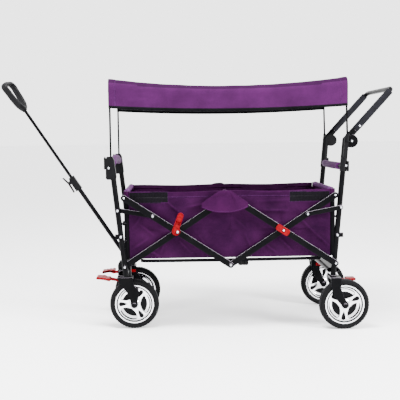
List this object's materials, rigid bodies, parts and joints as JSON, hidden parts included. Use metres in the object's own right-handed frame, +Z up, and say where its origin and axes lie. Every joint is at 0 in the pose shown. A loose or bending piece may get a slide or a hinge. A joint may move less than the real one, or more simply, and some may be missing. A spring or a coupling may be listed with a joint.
{
  "type": "folding wagon",
  "caption": "Folding child wagon with scissor frame, fabric tub, canopy on bows, swivelling front wheels with brakes, push handle and telescopic pull bar.",
  "frame": {"origin": "on the ground, at the centre of the footprint of the bounding box", "axes": "+Z up, -X towards the pull bar at the front, +X towards the push handle, -Y the wagon left side"},
  "size_m": [1.574, 0.525, 1.0084],
  "materials": {
    "black_painted_steel": "gloss black paint",
    "black_moulded_plastic": "fine grain",
    "red_moulded_plastic": "semi-gloss",
    "chromed_plastic": "bright chrome plating on moulded plastic",
    "tyre_rubber": "matt tread",
    "black_foam": "closed-cell foam",
    "purple_foam": "fabric-faced foam",
    "purple_tub_fabric": "coated polyester",
    "purple_canopy_fabric": "coated polyester"
  },
  "bodies": {
    "front_frame": {"bow_clamp_left": "black_moulded_plastic", "bow_clamp_right": "black_moulded_plastic", "canopy": "purple_canopy_fabric", "caster_housing_left": "black_moulded_plastic", "caster_housing_right": "black_moulded_plastic", "front_bow": "black_painted_steel", "front_frame_tubes": "black_painted_steel", "front_grab_foam": "purple_foam", "front_grab_tube": "black_painted_steel", "pull_bracket": "black_painted_steel", "tub_floor": "purple_tub_fabric", "tub_front_panel": "purple_tub_fabric", "tub_side_left": "purple_tub_fabric", "tub_side_right": "purple_tub_fabric"},
    "caster_left": {"caster_fork_left": "black_painted_steel"},
    "caster_right": {"caster_fork_right": "black_painted_steel"},
    "caster_pedal_left": {"caster_pedal_left": "red_moulded_plastic"},
    "caster_pedal_right": {"caster_pedal_right": "red_moulded_plastic"},
    "canopy_lever_left": {"clamp_lever_left": "black_moulded_plastic"},
    "canopy_lever_right": {"clamp_lever_right": "black_moulded_plastic"},
    "front_bars": {"front_bar_left": "black_painted_steel", "front_bar_right": "black_painted_steel"},
    "front_braces": {"front_brace_left": "black_painted_steel", "front_brace_right": "black_painted_steel"},
    "front_cross_bars": {"front_cross_bar_left": "black_painted_steel", "front_cross_bar_right": "black_painted_steel"},
    "rear_frame": {"handle_knuckle_left": "black_moulded_plastic", "handle_knuckle_right": "black_moulded_plastic", "rear_bow": "black_painted_steel", "rear_frame_tubes": "black_painted_steel", "rear_grab_foam": "purple_foam", "rear_grab_tube": "black_painted_steel", "tub_rear_panel": "purple_tub_fabric"},
    "latch_left": {"latch_lever_left": "red_moulded_plastic"},
    "latch_right": {"latch_lever_right": "red_moulded_plastic"},
    "pull_bar": {"pull_clamp": "black_moulded_plastic", "pull_outer_tube": "black_painted_steel"},
    "pull_lever": {"pull_clamp_lever": "black_moulded_plastic"},
    "pull_slider": {"pull_grip": "black_moulded_plastic", "pull_inner_tube": "black_painted_steel"},
    "push_handle": {"push_handle": "black_painted_steel", "push_handle_foam_left": "black_foam", "push_handle_foam_right": "black_foam"},
    "rear_bars": {"rear_bar_left": "black_painted_steel", "rear_bar_right": "black_painted_steel"},
    "rear_braces": {"rear_brace_left": "black_painted_steel", "rear_brace_right": "black_painted_steel"},
    "rear_cross_bars": {"rear_cross_bar_left": "black_painted_steel", "rear_cross_bar_right": "black_painted_steel"},
    "rear_pedal_left": {"rear_pedal_left": "red_moulded_plastic"},
    "rear_pedal_right": {"rear_pedal_right": "red_moulded_plastic"},
    "front_wheel_left": {"rim_front_left": "chromed_plastic", "tyre_front_left": "tyre_rubber"},
    "front_wheel_right": {"rim_front_right": "chromed_plastic", "tyre_front_right": "tyre_rubber"},
    "rear_wheel_left": {"rim_rear_left": "chromed_plastic", "tyre_rear_left": "tyre_rubber"},
    "rear_wheel_right": {"rim_rear_right": "chromed_plastic", "tyre_rear_right": "tyre_rubber"}
  },
  "joints": [
    {"name": "fold", "type": "hinge", "parent": "front_frame", "child": "front_bars", "pos_m": [-0.28771, 0, 0.265], "axis": [0, -1, 0], "range_deg": [0, 39], "deforming": ["canopy", "tub_floor", "tub_side_left", "tub_side_right"]},
    {"name": "front_crossing", "type": "hinge", "parent": "front_bars", "child": "front_cross_bars", "pos_m": [-0.07859, 0, 0.40081], "axis": [0, -1, 0], "range_deg": [-78.1, 0.1]},
    {"name": "top_crossing", "type": "hinge", "parent": "front_bars", "child": "rear_bars", "pos_m": [0.13054, 0, 0.53661], "axis": [0, -1, 0], "range_deg": [-78.1, 0.1]},
    {"name": "rear_crossing", "type": "hinge", "parent": "rear_bars", "child": "rear_cross_bars", "pos_m": [0.33966, 0, 0.40081], "axis": [0, -1, 0], "range_deg": [-0.1, 78.1]},
    {"name": "rear_frame_pivot", "type": "hinge", "parent": "rear_bars", "child": "rear_frame", "pos_m": [0.54879, 0, 0.265], "axis": [0, -1, 0], "range_deg": [-0.1, 39.1]},
    {"name": "front_brace_pivot", "type": "hinge", "parent": "front_cross_bars", "child": "front_braces", "pos_m": [-0.17562, 0, 0.46382], "axis": [0, -1, 0], "range_deg": [-0.1, 113.2]},
    {"name": "rear_brace_pivot", "type": "hinge", "parent": "rear_cross_bars", "child": "rear_braces", "pos_m": [0.4367, 0, 0.46382], "axis": [0, -1, 0], "range_deg": [-113.2, 0.1]},
    {"name": "push_handle_fold", "type": "hinge", "parent": "rear_frame", "child": "push_handle", "pos_m": [0.61433, 0, 0.749], "axis": [0, 1, 0], "range_deg": [0, 130]},
    {"name": "pull_bar_pivot", "type": "hinge", "parent": "front_frame", "child": "pull_bar", "pos_m": [-0.29471, 0, 0.268], "axis": [0, 1, 0], "range_deg": [-45, 20]},
    {"name": "pull_bar_extension", "type": "slide", "parent": "pull_bar", "child": "pull_slider", "axis": [-0.5505, 0, 0.8348], "range_m": [-0.29, 0]},
    {"name": "pull_clamp_flip", "type": "hinge", "parent": "pull_bar", "child": "pull_lever", "pos_m": [-0.52678, 0, 0.58453], "axis": [0, 1, 0], "range_deg": [0, 35]},
    {"name": "caster_swivel_left", "type": "hinge", "parent": "front_frame", "child": "caster_left", "pos_m": [-0.29471, -0.148, 0.211], "axis": [0, 0, 1], "continuous": true},
    {"name": "front_wheel_spin_left", "type": "hinge", "parent": "caster_left", "child": "front_wheel_left", "pos_m": [-0.25671, -0.148, 0.1], "axis": [0, 1, 0], "continuous": true},
    {"name": "caster_brake_left", "type": "hinge", "parent": "caster_left", "child": "caster_pedal_left", "pos_m": [-0.30671, -0.148, 0.19], "axis": [0, -1, 0], "range_deg": [0, 15]},
    {"name": "rear_wheel_spin_left", "type": "hinge", "parent": "rear_frame", "child": "rear_wheel_left", "pos_m": [0.58329, -0.23, 0.1], "axis": [0, 1, 0], "continuous": true},
    {"name": "rear_brake_left", "type": "hinge", "parent": "rear_frame", "child": "rear_pedal_left", "pos_m": [0.55529, -0.23, 0.19], "axis": [0, 1, 0], "range_deg": [-12, 0]},
    {"name": "frame_latch_left", "type": "hinge", "parent": "front_cross_bars", "child": "latch_left", "pos_m": [-0.07859, -0.2383, 0.40081], "axis": [0, 1, 0], "range_deg": [0, 60]},
    {"name": "canopy_clamp_left", "type": "hinge", "parent": "front_frame", "child": "canopy_lever_left", "pos_m": [-0.35058, -0.2385, 0.655], "axis": [0, -1, 0], "range_deg": [0, 100]},
    {"name": "caster_swivel_right", "type": "hinge", "parent": "front_frame", "child": "caster_right", "pos_m": [-0.29471, 0.148, 0.211], "axis": [0, 0, 1], "continuous": true},
    {"name": "front_wheel_spin_right", "type": "hinge", "parent": "caster_right", "child": "front_wheel_right", "pos_m": [-0.25671, 0.148, 0.1], "axis": [0, 1, 0], "continuous": true},
    {"name": "caster_brake_right", "type": "hinge", "parent": "caster_right", "child": "caster_pedal_right", "pos_m": [-0.30671, 0.148, 0.19], "axis": [0, -1, 0], "range_deg": [-15, 0]},
    {"name": "rear_wheel_spin_right", "type": "hinge", "parent": "rear_frame", "child": "rear_wheel_right", "pos_m": [0.58329, 0.23, 0.1], "axis": [0, 1, 0], "continuous": true},
    {"name": "rear_brake_right", "type": "hinge", "parent": "rear_frame", "child": "rear_pedal_right", "pos_m": [0.55529, 0.23, 0.19], "axis": [0, 1, 0], "range_deg": [-12, 0]},
    {"name": "frame_latch_right", "type": "hinge", "parent": "front_cross_bars", "child": "latch_right", "pos_m": [-0.07859, 0.2383, 0.40081], "axis": [0, 1, 0], "range_deg": [0, 60]},
    {"name": "canopy_clamp_right", "type": "hinge", "parent": "front_frame", "child": "canopy_lever_right", "pos_m": [-0.35058, 0.2385, 0.655], "axis": [0, -1, 0], "range_deg": [0, 100]}
  ],
  "couplings": [
    {"joint": "front_crossing", "follows": "fold", "ratio": -2},
    {"joint": "top_crossing", "follows": "fold", "ratio": -2},
    {"joint": "rear_crossing", "follows": "fold", "ratio": 2},
    {"joint": "rear_frame_pivot", "follows": "fold", "ratio": 1},
    {"joint": "front_brace_pivot", "follows": "fold", "ratio": 2.9},
    {"joint": "rear_brace_pivot", "follows": "fold", "ratio": -2.9}
  ]
}
